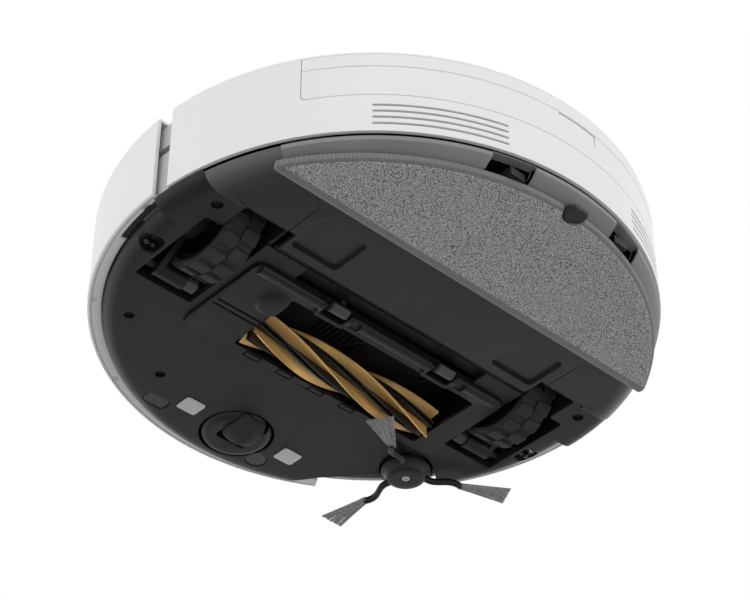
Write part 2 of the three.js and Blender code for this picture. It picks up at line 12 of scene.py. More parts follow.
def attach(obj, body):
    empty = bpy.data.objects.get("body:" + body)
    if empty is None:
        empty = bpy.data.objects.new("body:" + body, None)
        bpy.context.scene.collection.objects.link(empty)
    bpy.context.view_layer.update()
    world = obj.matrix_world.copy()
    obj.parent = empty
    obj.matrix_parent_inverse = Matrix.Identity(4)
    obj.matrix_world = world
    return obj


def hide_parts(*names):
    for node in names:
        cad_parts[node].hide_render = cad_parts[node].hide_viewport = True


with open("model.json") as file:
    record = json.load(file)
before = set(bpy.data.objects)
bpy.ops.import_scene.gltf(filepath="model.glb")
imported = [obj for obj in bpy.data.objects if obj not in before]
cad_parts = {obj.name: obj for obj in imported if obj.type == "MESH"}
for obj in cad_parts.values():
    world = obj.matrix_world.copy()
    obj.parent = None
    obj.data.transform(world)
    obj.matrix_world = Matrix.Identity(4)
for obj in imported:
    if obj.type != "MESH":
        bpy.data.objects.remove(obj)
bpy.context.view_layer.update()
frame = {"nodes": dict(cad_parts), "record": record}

MM = 0.001
UNDERSIDE = 9.5
IN_PLACE = Matrix.Translation((0, 0, UNDERSIDE * MM)) @ Matrix.Scale(MM, 4)
BODIES = {node: body for body, nodes in frame["record"]["behaviour"]["bodies"].items() for node in nodes}
SLOTS = {row["node"]: row["material_slot"] for row in frame["record"]["subparts"]}

BODY_R = 175
BUMPER_R = 175.4
SIDES = (("left", 1), ("right", -1))
CASTER_Y = -131
SPINNER = (-107, -85.3)
KEY_Y = -118
TURRET_Y = 30
CLIFF = (154.8, -21.5)
CATCH_Y = 168


# ---------------------------------------------------------------- camera, light and floor
def camera():
    data = bpy.data.cameras.new("camera")
    data.lens = 104.31
    data.sensor_width = 36
    data.clip_start = 0.05
    data.clip_end = 30
    seen_from = Vector((0.7029, 0.7627, -0.8185))
    aimed_at = Vector((0.0102, 0.0119, 0.0287))
    made = bpy.data.objects.new("camera", data)
    made.location = seen_from
    made.rotation_euler = (aimed_at - seen_from).to_track_quat("-Z", "Y").to_euler()
    bpy.context.scene.collection.objects.link(made)
    bpy.context.scene.camera = made


def softbox(name, place, size, watts, aim=(0, 0, 0.03)):
    data = bpy.data.lights.new(name, "AREA")
    data.shape = "RECTANGLE"
    data.size, data.size_y = size
    data.energy = watts
    made = bpy.data.objects.new(name, data)
    made.location = place
    made.rotation_euler = (Vector(aim) - Vector(place)).to_track_quat("-Z", "Y").to_euler()
    bpy.context.scene.collection.objects.link(made)
    return made


def studio():
    world = bpy.data.worlds.new("white studio")
    world.use_nodes = True
    nodes, links = world.node_tree.nodes, world.node_tree.links
    heading = nodes.new("ShaderNodeTexCoord")
    axes = nodes.new("ShaderNodeSeparateXYZ")
    dimmer = nodes.new("ShaderNodeMapRange")
    for socket, value in zip(list(dimmer.inputs)[1:5], (-0.74, -0.18, 0.3, 1.0)):
        socket.default_value = value
    links.new(heading.outputs["Generated"], axes.inputs[0])
    links.new(axes.outputs["Z"], dimmer.inputs["Value"])
    links.new(dimmer.outputs["Result"], nodes["Background"].inputs["Strength"])
    nodes["Background"].inputs["Color"].default_value = (1, 1, 1, 1)
    bpy.context.scene.world = world
    bpy.context.scene.view_settings.view_transform = "Standard"
    softbox("rear light", (1.2, 1.5, 0.9), (1.2, 0.8), 2.0)
    softbox("low light", (-0.3, 1.6, -1.0), (1.4, 0.6), 1.5)
    softbox("front light", (-1.2, -1.4, 1.2), (1.0, 1.0), 3)


# The floor shows from above only, so that the underside can be looked at from below.
def floor():
    bm = bmesh.new()
    bmesh.ops.create_circle(bm, cap_ends=True, segments=96, radius=4)
    mesh = bpy.data.meshes.new("floor")
    bm.to_mesh(mesh)
    made = bpy.data.objects.new("floor", mesh)
    bpy.context.scene.collection.objects.link(made)
    paper = bpy.data.materials.new("pale floor")
    paper.use_nodes = True
    nodes, links = paper.node_tree.nodes, paper.node_tree.links
    surface = nodes["Principled BSDF"]
    surface.inputs["Base Color"].default_value = (0.82, 0.82, 0.83, 1)
    surface.inputs["Roughness"].default_value = 0.6
    clear = nodes.new("ShaderNodeBsdfTransparent")
    choice = nodes.new("ShaderNodeMixShader")
    facing = nodes.new("ShaderNodeNewGeometry")
    links.new(facing.outputs["Backfacing"], choice.inputs[0])
    links.new(surface.outputs[0], choice.inputs[1])
    links.new(clear.outputs[0], choice.inputs[2])
    links.new(choice.outputs[0], nodes["Material Output"].inputs["Surface"])
    mesh.materials.append(paper)
    made.visible_shadow = False
    made.visible_diffuse = False
    made.visible_glossy = False


# ---------------------------------------------------------------- shader maths
class Wire:
    """One output of a material's node, with arithmetic."""

    def __init__(self, finish, socket):
        self.finish = finish
        self.socket = socket

    def maths(self, operation, *values):
        return self.finish.node("ShaderNodeMath", {"operation": operation}, *values)

    def __add__(self, other):
        return self.maths("ADD", self, other)

    def __radd__(self, other):
        return self.maths("ADD", other, self)

    def __sub__(self, other):
        return self.maths("SUBTRACT", self, other)

    def __rsub__(self, other):
        return self.maths("SUBTRACT", other, self)

    def __mul__(self, other):
        return self.maths("MULTIPLY", self, other)

    def __rmul__(self, other):
        return self.maths("MULTIPLY", other, self)

    def __truediv__(self, other):
        return self.maths("DIVIDE", self, other)

    def __pow__(self, other):
        return self.maths("POWER", self, other)

    def __gt__(self, other):
        return self.maths("GREATER_THAN", self, other)

    def __lt__(self, other):
        return self.maths("LESS_THAN", self, other)

class Finish:
    """A material under construction."""

    def __init__(self, name):
        self.material = bpy.data.materials.new(name)
        self.material.use_nodes = True
        self.tree = self.material.node_tree
        self.surface = self.tree.nodes["Principled BSDF"]

    def node(self, kind, settings=None, *values, out=0, **named):
        made = self.tree.nodes.new(kind)
        for key, value in (settings or {}).items():
            if key == "stops":
                ramp = made.color_ramp.elements
                while len(ramp) < len(value):
                    ramp.new(0.5)
                for stop, (at, shade) in zip(ramp, value):
                    stop.position, stop.color = at, (*shade, 1) if len(shade) == 3 else shade
            else:
                setattr(made, key, value)
        for key, value in [*enumerate(values), *((k.replace("_", " "), v) for k, v in named.items())]:
            self.feed(made.inputs[key], value)
        return Wire(self, made.outputs[out])

    def feed(self, socket, value):
        if isinstance(value, Wire):
            self.tree.links.new(value.socket, socket)
        elif value is not None:
            if isinstance(value, tuple) and len(value) == 3 and socket.type == "RGBA":
                value = (*value, 1)
            socket.default_value = value

    def place(self, scale=(1, 1, 1), turn=(0, 0, 0), shift=(0, 0, 0)):
        at = self.node("ShaderNodeTexCoord", out="Object")
        return self.node("ShaderNodeMapping", {"vector_type": "POINT"}, at, shift, turn, scale)

    def noise(self, scale, detail=2.0, rough=0.5, at=None, warp=0.0):
        at = at or self.place()
        return self.node("ShaderNodeTexNoise", None, Vector=at, Scale=scale, Detail=detail, Roughness=rough,
                         Distortion=warp)

    def mix(self, factor, a, b, blend="MIX"):
        made = self.tree.nodes.new("ShaderNodeMix")
        made.data_type = "RGBA"
        made.blend_type = blend
        for index, value in ((0, factor), (6, a), (7, b)):
            self.feed(made.inputs[index], value)
        return Wire(self, made.outputs[2])

    def between(self, value, low, high, to_low=0.0, to_high=1.0):
        smooth = {"interpolation_type": "SMOOTHSTEP"}
        return self.node("ShaderNodeMapRange", smooth, value, low, high, to_low, to_high)

    def bump(self, height, depth, strength=1.0, over=None):
        return self.node("ShaderNodeBump", None, Height=height, Distance=depth, Strength=strength,
                         Normal=over)

    def coat(self, **inputs):
        for key, value in inputs.items():
            self.feed(self.surface.inputs[key.replace("_", " ")], value)
        return self.material


# ---------------------------------------------------------------- finishes
def moulded(name, dark, light, rough, grain=900, depth=0.00006, specular=0.5, rim=None):
    """Moulded plastic: a fine even grain, slow changes of tone, and scuffs that change the gloss; a rim
    colour, when given, is a painted highlight that lightens the outer rim.
    """
    f = Finish(name)
    slow = f.noise(14, 3, 0.55)
    scuffs = f.noise(60, 6, 0.7, f.place((1, 3.5, 1), (0, 0, 0.6)))
    speck = f.noise(grain, 1, 0.5)
    tone = f.mix(f.between(slow, 0.35, 0.7), dark, light)
    tone = f.mix(f.between(scuffs, 0.58, 0.8, 0, 0.25), tone, tuple(min(1, c * 1.35) for c in light))
    # A rim colour is a painted highlight: the outer rim, 155 to 172 mm out, is lightened towards it.
    if rim:
        at = f.place()
        x = f.node("ShaderNodeSeparateXYZ", None, at, out="X")
        y = f.node("ShaderNodeSeparateXYZ", None, at, out="Y")
        tone = f.mix(f.between((x * x + y * y) ** 0.5, 0.155, 0.172), tone, rim)
    gloss = rough + (slow - 0.5) * 0.12 + f.between(scuffs, 0.5, 0.75, 0, 0.09)
    return f.coat(Base_Color=tone, Roughness=gloss, Normal=f.bump(speck, depth), Specular_IOR_Level=specular)


def glossy_white():
    f = Finish("white shell")
    slow = f.noise(9, 2, 0.5)
    ripple = f.noise(240, 2, 0.5)
    dust = f.noise(700, 4, 0.7)
    tone = f.mix(f.between(slow, 0.3, 0.7), (0.80, 0.815, 0.835), (0.835, 0.845, 0.86))
    tone = f.mix(f.between(dust, 0.66, 0.8, 0, 0.25), tone, (0.66, 0.67, 0.68))
    return f.coat(Base_Color=tone, Roughness=0.3 + f.between(slow, 0.3, 0.8, 0, 0.08),
                  Normal=f.bump(ripple, 0.00002), Coat_Weight=0.25, Coat_Roughness=0.12)


def tyre_rubber():
    f = Finish("tyre rubber")
    patches = f.noise(45, 4, 0.6)
    grit = f.noise(1600, 3, 0.65)
    tone = f.mix(f.between(patches, 0.35, 0.75), (0.028, 0.028, 0.029), (0.05, 0.05, 0.051))
    tone = f.mix(f.between(grit, 0.6, 0.8, 0, 0.5), tone, (0.11, 0.11, 0.11))
    return f.coat(Base_Color=tone, Roughness=0.72 + f.between(patches, 0.3, 0.8, 0, 0.16),
                  Normal=f.bump(grit, 0.00012), Specular_IOR_Level=0.35)


def copper_rubber():
    f = Finish("copper elastomer")
    sheen = f.noise(30, 3, 0.5, f.place((1, 2.5, 2.5)))
    fine = f.noise(1100, 2, 0.6)
    tone = f.mix(f.between(sheen, 0.3, 0.7), (0.76, 0.44, 0.14), (0.93, 0.58, 0.2))
    tone = f.mix(f.between(fine, 0.55, 0.75, 0, 0.3), tone, (0.46, 0.26, 0.08))
    return f.coat(Base_Color=tone, Roughness=0.42 + f.between(sheen, 0.3, 0.7, 0, 0.1),
                  Metallic=f.between(sheen, 0.3, 0.7, 0.25, 0.35), Normal=f.bump(fine, 0.00004))


def silver():
    f = Finish("contact plating")
    brushed = f.noise(420, 3, 0.6, f.place((1, 14, 1)))
    spots = f.noise(260, 3, 0.6)
    tone = f.mix(f.between(brushed, 0.3, 0.7), (0.56, 0.56, 0.57), (0.68, 0.68, 0.69))
    tone = f.mix(f.between(spots, 0.62, 0.75, 0, 0.4), tone, (0.4, 0.38, 0.35))
    return f.coat(Base_Color=tone, Metallic=1.0, Roughness=0.34 + f.between(brushed, 0.3, 0.7, 0, 0.12),
                  Normal=f.bump(brushed, 0.00002))


def dark_window():
    f = Finish("infrared window")
    cloud = f.noise(120, 2, 0.5)
    return f.coat(Base_Color=f.mix(f.between(cloud, 0.3, 0.7), (0.006, 0.006, 0.009), (0.014, 0.012, 0.018)),
                  Roughness=0.07 + f.between(cloud, 0.4, 0.8, 0, 0.08), Coat_Weight=0.6)


def nylon():
    f = Finish("nylon bristle")
    runs = f.noise(500, 3, 0.6)
    tone = f.mix(f.between(runs, 0.3, 0.7), (0.24, 0.24, 0.244), (0.42, 0.42, 0.425))
    return f.coat(Base_Color=tone, Roughness=0.45 + f.between(runs, 0.3, 0.7, 0, 0.15),
                  Normal=f.bump(runs, 0.00003))


def knit():
    """Terry cloth: uneven loops with painted shade in the gaps between them and lighter loop tops, and a flat
    darker hem round the edge.
    """
    f = Finish("looped knit")
    at = f.place()
    drift = f.node("ShaderNodeTexNoise", None, Vector=at, Scale=170.0, Detail=3.0, out=1)
    moved = f.node("ShaderNodeVectorMath", {"operation": "MULTIPLY_ADD"}, drift, (0.0022, 0.0022, 0), at)
    squashed = f.node("ShaderNodeMapping", None, moved, (0, 0, 0), (0, 0, 0.5), (1, 1.7, 1))
    cells = f.node("ShaderNodeTexVoronoi", None, Vector=squashed, Scale=820.0, Randomness=0.85)
    yarn = f.noise(2300, 3, 0.7, at)
    cloudy = f.noise(24, 3, 0.6, at)
    relief = 1.0 - cells * 1.15 + yarn * 0.4
    # Painted shade: the loop height darkens the gaps between loops and lightens the loop tops.
    tone = f.mix(f.between(relief, 0.3, 0.95), (0.1, 0.1, 0.102), (0.74, 0.74, 0.75))
    tone = f.mix(f.between(cloudy, 0.35, 0.7, 0, 0.22), tone, (0.5, 0.5, 0.505))
    x = f.node("ShaderNodeSeparateXYZ", None, at, out="X")
    y = f.node("ShaderNodeSeparateXYZ", None, at, out="Y")
    back = y + 0.0117
    out = (x * x + back * back) ** 0.5
    front_hem = f.between(y, 0.0868, 0.0876, 1, 0)
    hem = front_hem.maths("MAXIMUM", front_hem, out > 0.1769)
    weave = (x * 3800).maths("SINE", x * 3800) * 0.5 + 0.5
    tape = f.mix(f.between(weave * 0.12 + yarn * 0.88, 0.3, 0.8), (0.13, 0.13, 0.133), (0.27, 0.27, 0.275))
    tone = f.mix(hem, tone, tape)
    return f.coat(Base_Color=tone, Roughness=0.9 + f.between(yarn, 0.3, 0.8, 0, 0.08),
                  Normal=f.bump(relief * (1.0 - hem * 0.7), 0.0011, 0.85), Sheen_Weight=0.3)


def board_green():
    f = Finish("circuit board")
    tracks = f.noise(90, 2, 0.5, f.place((1, 4, 1)))
    tone = f.mix(tracks > 0.52, (0.01, 0.07, 0.035), (0.02, 0.13, 0.06))
    return f.coat(Base_Color=tone, Roughness=0.4, Coat_Weight=0.4)


def lamp_ring():
    f = Finish("lamp ring")
    glow = f.noise(80, 1, 0.5)
    tone = f.mix(f.between(glow, 0.3, 0.7), (0.55, 0.6, 0.66), (0.62, 0.66, 0.7))
    return f.coat(Base_Color=tone, Roughness=0.25, Emission_Color=(0.6, 0.75, 1.0), Emission_Strength=0.15)


WHITE = glossy_white()
CHARCOAL = moulded("charcoal plastic", (0.009, 0.009, 0.0098), (0.014, 0.014, 0.015), 0.42, specular=0.38)
# The skirt's outer rim is lightened as a painted highlight.
SKIRT = moulded("skirt plastic", (0.013, 0.013, 0.014), (0.019, 0.019, 0.02), 0.3,
                rim=(0.1, 0.1, 0.102))
# The rear band's lighter grey is a painted highlight for the light its rim catches.
BAND_PAINTED_HIGHLIGHT = moulded("rear band painted highlight", (0.21, 0.21, 0.214), (0.25, 0.25, 0.255), 0.34)
DARK = moulded("matt black plastic", (0.008, 0.008, 0.008), (0.014, 0.014, 0.014), 0.5)
PIANO = moulded("gloss black plastic", (0.007, 0.007, 0.007), (0.011, 0.011, 0.011), 0.16, 500, 0.00001)
GREY = moulded("grey plastic", (0.055, 0.055, 0.057), (0.085, 0.085, 0.088), 0.45)
PALE = moulded("pale inner plastic", (0.5, 0.51, 0.52), (0.58, 0.59, 0.6), 0.4)
SMOKED = moulded("smoked tank plastic", (0.02, 0.022, 0.026), (0.04, 0.043, 0.05), 0.15, 300, 0.00001)
RUBBER = tyre_rubber()
COPPER = copper_rubber()
SILVER = silver()
WINDOW = dark_window()
NYLON = nylon()
KNIT = knit()
GREEN = board_green()
LAMP = lamp_ring()


# ---------------------------------------------------------------- modelling
def as_object(bm, name="work"):
    mesh = bpy.data.meshes.new(name)
    bm.to_mesh(mesh)
    made = bpy.data.objects.new(name, mesh)
    bpy.context.scene.collection.objects.link(made)
    return made


def settled(ob):
    """The mesh of an object with its modifiers applied."""
    graph = bpy.context.evaluated_depsgraph_get()
    return bpy.data.meshes.new_from_object(ob.evaluated_get(graph))


def discard(ob):
    mesh = ob.data
    bpy.data.objects.remove(ob)
    bpy.data.meshes.remove(mesh)


def combined(operation, body, tools):
    host = as_object(body)
    group = bpy.data.collections.new("tools")
    helpers = [as_object(tool) for tool in tools]
    for helper in helpers:
        group.objects.link(helper)
    step = host.modifiers.new("step", "BOOLEAN")
    step.operation = operation
    step.solver = "EXACT"
    step.operand_type = "COLLECTION"
    step.collection = group
    mesh = settled(host)
    made = bmesh.new()
    made.from_mesh(mesh)
    bpy.data.meshes.remove(mesh)
    for ob in [host, *helpers]:
        discard(ob)
    bpy.data.collections.remove(group)
    bmesh.ops.remove_doubles(made, verts=made.verts, dist=0.001)
    bmesh.ops.dissolve_degenerate(made, edges=made.edges, dist=0.001)
    return made


def cut(body, *tools):
    return combined("DIFFERENCE", body, tools)


def joined(body, *others):
    return combined("UNION", body, others)


def kept(body, *others):
    return combined("INTERSECT", body, others)


def together(*parts):
    """Several closed shapes as one mesh, side by side."""
    made = bmesh.new()
    for part in parts:
        mesh = bpy.data.meshes.new("part")
        part.to_mesh(mesh)
        made.from_mesh(mesh)
        bpy.data.meshes.remove(mesh)
    return made


def turn(bm, axis, degrees, about=(0, 0, 0)):
    bmesh.ops.rotate(bm, verts=bm.verts, cent=about, matrix=Matrix.Rotation(math.radians(degrees), 3, axis))
    return bm


def shift(bm, x=0, y=0, z=0):
    bmesh.ops.translate(bm, verts=bm.verts, vec=(x, y, z))
    return bm


def round_off(bm, amount, chosen, segments=3):
    edges = [e for e in bm.edges if chosen(e)]
    bmesh.ops.bevel(bm, geom=edges, offset=amount, segments=segments, profile=0.5, affect="EDGES",
                    material=-1)
    return bm


def upright(edge):
    along = edge.verts[1].co - edge.verts[0].co
    return abs(along.z) > 0.99 * along.length


def slab(x, y, z, corner=0, edge=0, segments=4):
    """A block between two numbers on each axis, with rounded upright corners and softened edges."""
    bm = bmesh.new()
    size = Matrix.Diagonal((x[1] - x[0], y[1] - y[0], z[1] - z[0], 1))
    middle = Matrix.Translation(((x[0] + x[1]) / 2, (y[0] + y[1]) / 2, (z[0] + z[1]) / 2))
    bmesh.ops.create_cube(bm, size=1, matrix=middle @ size)
    if corner:
        round_off(bm, corner, upright, segments)
    if edge:
        round_off(bm, edge, lambda e: e.calc_face_angle(0) > 0.8, 2)
    return bm


def carried(bm, face, by):
    """Extends a face by a step and returns what grew."""
    grown = bmesh.ops.extrude_face_region(bm, geom=[face])["geom"]
    bmesh.ops.translate(bm, verts=[v for v in grown if isinstance(v, bmesh.types.BMVert)], vec=by)
    return grown


def plate(points, z, corner=0, segments=3):
    """A flat outline raised from z[0] to z[1]."""
    bm = bmesh.new()
    face = bm.faces.new([bm.verts.new((px, py, z[0])) for px, py in points])
    carried(bm, face, (0, 0, z[1] - z[0]))
    bmesh.ops.recalc_face_normals(bm, faces=bm.faces)
    if corner:
        round_off(bm, corner, upright, segments)
    return bm


def spun(profile, steps=160, arc=None, closed=False):
    """A profile of (radius, height) turned about the upright axis, all round or between two azimuths
    counted in degrees from the rear towards the left side."""
    bm = bmesh.new()
    verts = [bm.verts.new((r, 0, z)) for r, z in profile]
    ends = verts[1:] + (verts[:1] if closed else [])
    edges = [bm.edges.new(pair) for pair in zip(verts, ends)]
    if arc is None:
        bmesh.ops.spin(bm, geom=verts + edges, axis=(0, 0, 1), cent=(0, 0, 0), angle=2 * math.pi, steps=steps,
                       use_merge=True)
        bmesh.ops.remove_doubles(bm, verts=bm.verts, dist=1e-4)
    else:
        turn(bm, "Z", 90 - arc[1])
        bmesh.ops.spin(bm, geom=verts + edges, axis=(0, 0, 1), cent=(0, 0, 0),
                       angle=math.radians(arc[1] - arc[0]), steps=steps)
        bmesh.ops.holes_fill(bm, edges=[e for e in bm.edges if e.is_boundary])
    bmesh.ops.recalc_face_normals(bm, faces=bm.faces)
    return bm


def run_x(section, x):
    """An outline of (y, z) carried between two positions along X."""
    bm = bmesh.new()
    face = bm.faces.new([bm.verts.new((x[0], py, pz)) for py, pz in section])
    carried(bm, face, (x[1] - x[0], 0, 0))
    bmesh.ops.recalc_face_normals(bm, faces=bm.faces)
    return bm


def disc(r, z, centre=(0, 0), steps=48, edge=0):
    low, high = z
    if edge:
        profile = [(0, low), (r - edge, low), (r, low + edge), (r, high - edge), (r - edge, high), (0, high)]
    else:
        profile = [(0, low), (r, low), (r, high), (0, high)]
    return shift(spun(profile, steps), centre[0], centre[1])


def rod(r, x, y, z, steps=32, edge=0):
    """A round bar along X."""
    bar = turn(disc(r, (x[0], x[1]), (0, 0), steps, edge), "Y", 90)
    return shift(bar, 0, y, z)


def spun_x(profile, y, z, steps=64, closed=False):
    """A profile of (radius, x) turned about an axis along X."""
    return shift(turn(spun(profile, steps, closed=closed), "Y", 90), 0, y, z)


def bent(bm, radius, step=2.0):
    """A wall drawn flat, with x along the arc and y outwards from the radius, bent round the body."""
    reach = max(abs(v.co.x) for v in bm.verts)
    each = radius * math.radians(step)
    for i in range(-int(reach / each), int(reach / each) + 1):
        bmesh.ops.bisect_plane(bm, geom=[*bm.verts, *bm.edges, *bm.faces], plane_co=(i * each, 0, 0),
                               plane_no=(1, 0, 0), dist=0.01)
    for v in bm.verts:
        azimuth = v.co.x / radius
        out = radius + v.co.y
        v.co.x, v.co.y = out * math.sin(azimuth), out * math.cos(azimuth)
    return bm


def arc_mm(degrees, radius=BODY_R):
    return radius * math.radians(degrees)


def made_piece(name, bm, finish, nodes=(), body=None, soften=0.0, segments=2, sharp=32, slot=None):
    """Puts a shape in place in metres, softens its edges and hands it to its body."""
    bmesh.ops.recalc_face_normals(bm, faces=bm.faces)
    many_sided = [face for face in bm.faces if len(face.verts) > 4]
    bmesh.ops.triangulate(bm, faces=many_sided, quad_method="BEAUTY", ngon_method="BEAUTY")
    bm.transform(IN_PLACE)
    mesh = bpy.data.meshes.new(name)
    bm.to_mesh(mesh)
    bm.free()
    ob = bpy.data.objects.new(name, mesh)
    bpy.context.scene.collection.objects.link(ob)
    if soften:
        edge = ob.modifiers.new("soft edge", "BEVEL")
        edge.width = soften * MM
        edge.segments = segments
        edge.limit_method = "ANGLE"
        edge.angle_limit = math.radians(35)
        edge.use_clamp_overlap = False
        edge.miter_outer = "MITER_ARC"
    mesh = settled(ob)
    discard(ob)
    mesh.name = name
    ob = bpy.data.objects.new(name, mesh)
    bpy.context.scene.collection.objects.link(ob)
    mesh.shade_smooth()
    mesh.set_sharp_from_angle(angle=math.radians(sharp))
    weigh = ob.modifiers.new("flat faces lead", "WEIGHTED_NORMAL")
    weigh.keep_sharp = True
    mesh.materials.clear()
    mesh.materials.append(finish)
    body = body or BODIES[nodes[0]]
    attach(ob, body)
    if nodes:
        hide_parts(*nodes)
        slot = slot or SLOTS[nodes[0]]
    return ob


# ---------------------------------------------------------------- white shells
def back_shell():
    half = arc_mm(85)
    wall = slab((-half, half), (-2.5, 0), (8.6, 69.3))
    door = arc_mm(56.3) + 0.3
    wall = cut(wall, round_off(slab((-door, door), (-6, 6), (36.5, 90)), 3.2, lambda e: abs(
        (e.verts[0].co - e.verts[1].co).y) > 9 and e.verts[0].co.z < 50, 4))
    vents = []
    for z in (14.5, 19.3, 24.0, 28.6):
        for s in (1, -1):
            x = sorted((s * arc_mm(17), s * arc_mm(43)))
            vents.append(turn(slab(x, (z - 0.75, z + 0.75), (-6, 6), 0.7, segments=3), "X", 90))
    wall = cut(wall, *vents)
    made_piece("back_shell", bent(wall, BODY_R), WHITE, ["rear_shell"], soften=0.35)


def drawer_front():
    half = arc_mm(56.3)
    wall = round_off(slab((-half, half), (-2.5, 0), (36.8, 69.1)), 3, lambda e: abs(
        (e.verts[0].co - e.verts[1].co).y) > 2 and e.verts[0].co.z < 50 and e.verts[1].co.z < 50, 4)
    press = arc_mm(5)
    groove = slab((-half - 5, half + 5), (-0.25, 5), (59.3, 59.65))
    wall = cut(wall, slab((-press, press), (-6, 6), (50, 59)), groove)
    made_piece("drawer_front", bent(wall, BODY_R), WHITE, ["tank_fascia"], soften=0.3)
    button = slab((-press + 0.4, press - 0.4), (-6.4, -0.5), (50.3, 58.7))
    made_piece("drawer_button", bent(button, BODY_R), WHITE, ["tank_release"], soften=0.5)


def bumper_skin():
    r = BUMPER_R
    profile = [(r - 0.5, 69.3), (r, 68.8), (r, 11.4), (r - 0.5, 10.3), (r - 1.3, 9.8), (r - 2.0, 9.75),
               (r - 2.1, 11.1), (r - 3.2, 11.1), (r - 3.3, 9.75), (167.6, 9.7), (166.6, 9.9), (166.3, 10.5),
               (166.3, 11.7), (r - 2.6, 11.7), (r - 2.6, 69.3)]
    skin = spun(profile, 132, (89, 271), closed=True)
    gap = plate([(-72.5, -128), (-95, -168), (-115, -190), (-190, -110), (-160, -94), (-118, -70.5)],
                (5, 19), 2)
    holes = [turn(slab((-2.6, 2.6), (168.6, 172.6), (8, 11.4), 1.2), "Z", -a)
             for a in (92.5, 123.5, 150, 196)]
    notch = spun([(160, 5), (170.4, 5), (170.4, 11.3), (160, 11.3)], 16, (88, 103), closed=True)
    skin = cut(skin, gap, notch, *holes)
    made_piece("bumper_skin", skin, WHITE, ["bumper_shell"], soften=0.25)
    seal = spun([(166.8, 9.9), (170.2, 9.9), (170.2, 11.2), (166.8, 11.2)], 16, (89.6, 102.6), closed=True)
    made_piece("bumper_seal", seal, DARK, body="bumper", slot=SLOTS["chassis_base"])


def top_lid():
    profile = [(0, 69.6), (174.6, 69.6), (174.6, 70.4), (174.35, 71.1), (173.7, 71.7), (172.6, 72), (151, 72),
               (150.7, 71.7), (150.4, 72), (0, 72)]
    lid = spun(profile, 192)
    turret_hole = shift(spun([(0, 60), (47.2, 60), (47.2, 70.6), (47.6, 71.2), (49.5, 71.75), (53, 72.05),
                              (53, 80), (0, 80)], 96), 0, TURRET_Y)
    gaps = [turn(slab((-6.3, 6.3), (167, 180), (60, 80)), "Z", -s * 87) for s in (1, -1)]
    lid = cut(lid, turret_hole, *gaps, *[disc(7.4, (60, 80), (x, KEY_Y), 48) for x in (-15, 15)])
    made_piece("top_lid", lid, WHITE, ["top_cover"], soften=0.25)
    for name, node, x in (("home_key", "home_button", -15), ("power_key", "power_button", 15)):
        key = spun([(0, 69), (7, 69), (7, 71.9), (6.7, 72.4), (6.1, 72.6), (5.1, 72.6), (4.9, 72.45),
                    (4.4, 72.4), (0, 72.35)], 48)
        made_piece(name, shift(key, x, KEY_Y), WHITE, [node])
        lamp = spun([(1.9, 72.3), (2.5, 72.3), (2.5, 72.5), (1.9, 72.5)], 32, closed=True)
        made_piece(name + "_lamp", shift(lamp, x, KEY_Y), LAMP, body=BODIES[node], slot="white_shell")


def turret():
    seat = spun([(0, 69.6), (46.6, 69.6), (46.6, 71.6), (45.8, 72.6), (44.5, 73.2), (40, 74.3), (33, 74.5),
                 (0, 74.5)], 120)
    posts = []
    for i in range(4):
        a = math.radians(45 + 90 * i)
        posts.append(shift(spun([(0, 73.5), (3.2, 73.5), (2.6, 75), (2.4, 83.6), (0, 83.6)], 20),
                           41 * math.cos(a), 41 * math.sin(a)))
    seat = joined(seat, *posts)
    made_piece("turret_seat", shift(seat, 0, TURRET_Y), PIANO, ["turret_base"], soften=0.2)
    drum = spun([(0, 74.8), (28.4, 74.8), (29, 75.4), (29, 82.4), (28.4, 83), (0, 83)], 96)
    drum = cut(drum, slab((-14, -2), (20, 40), (76.4, 81.4), 0.8), slab((4, 14), (20, 40), (76.4, 81.4), 0.8))
    made_piece("scanner_drum", shift(drum, 0, TURRET_Y), DARK, ["scanner"], soften=0.25)
    cap = spun([(0, 85.6), (43.6, 85.6), (44.7, 86), (45, 86.8), (44.6, 87.5), (43.6, 87.9), (42, 88),
                (36.4, 88), (36.1, 87.75), (35.8, 88), (0, 88)], 144)
    made_piece("turret_lid", shift(cap, 0, TURRET_Y), WHITE, ["turret_cap"])


# ---------------------------------------------------------------- chassis
def pan(edge, steps=144):
    c = 10
    return spun([(0, 0), (edge - c - 1.5, 0), (edge - 0.8 * c, 0.25), (edge - 0.6 * c, 0.9),
                 (edge - 0.4 * c, 2), (edge - 0.22 * c, 3.6), (edge - 0.08 * c, 5.6), (edge, 8.3),
                 (edge - 2.5, 8.3), (edge - 0.45 * c - 2, 4.2), (edge - c - 1, 3), (0, 3)], steps)


def well(sign, z, by=0.0, corner=0.0):
    x0, x1, xs = 105.5 - by, 147 + by, 135.5 + by
    outline = [(sign * px, py) for px, py in ((x0, -48 - by), (x1, -48 - by), (x1, 18 + by), (xs, 18 + by),
                                              (xs, 40 + by), (x0, 40 + by))]
    return plate(outline, z, corner)


def brush_clearance():
    wedge = plate([(-60, -150), (-71, -133), (-95, -106), (-107, -85.3), (-118, -70.5), (-130, -80.5),
                   (-200, -110), (-110, -200)], (-1, 12))
    return wedge, disc(17.6, (-1, 12), SPINNER, 64)


SCREWS = ((149, 30.4), (-149, 30.4), (125, -82), (75, -115))


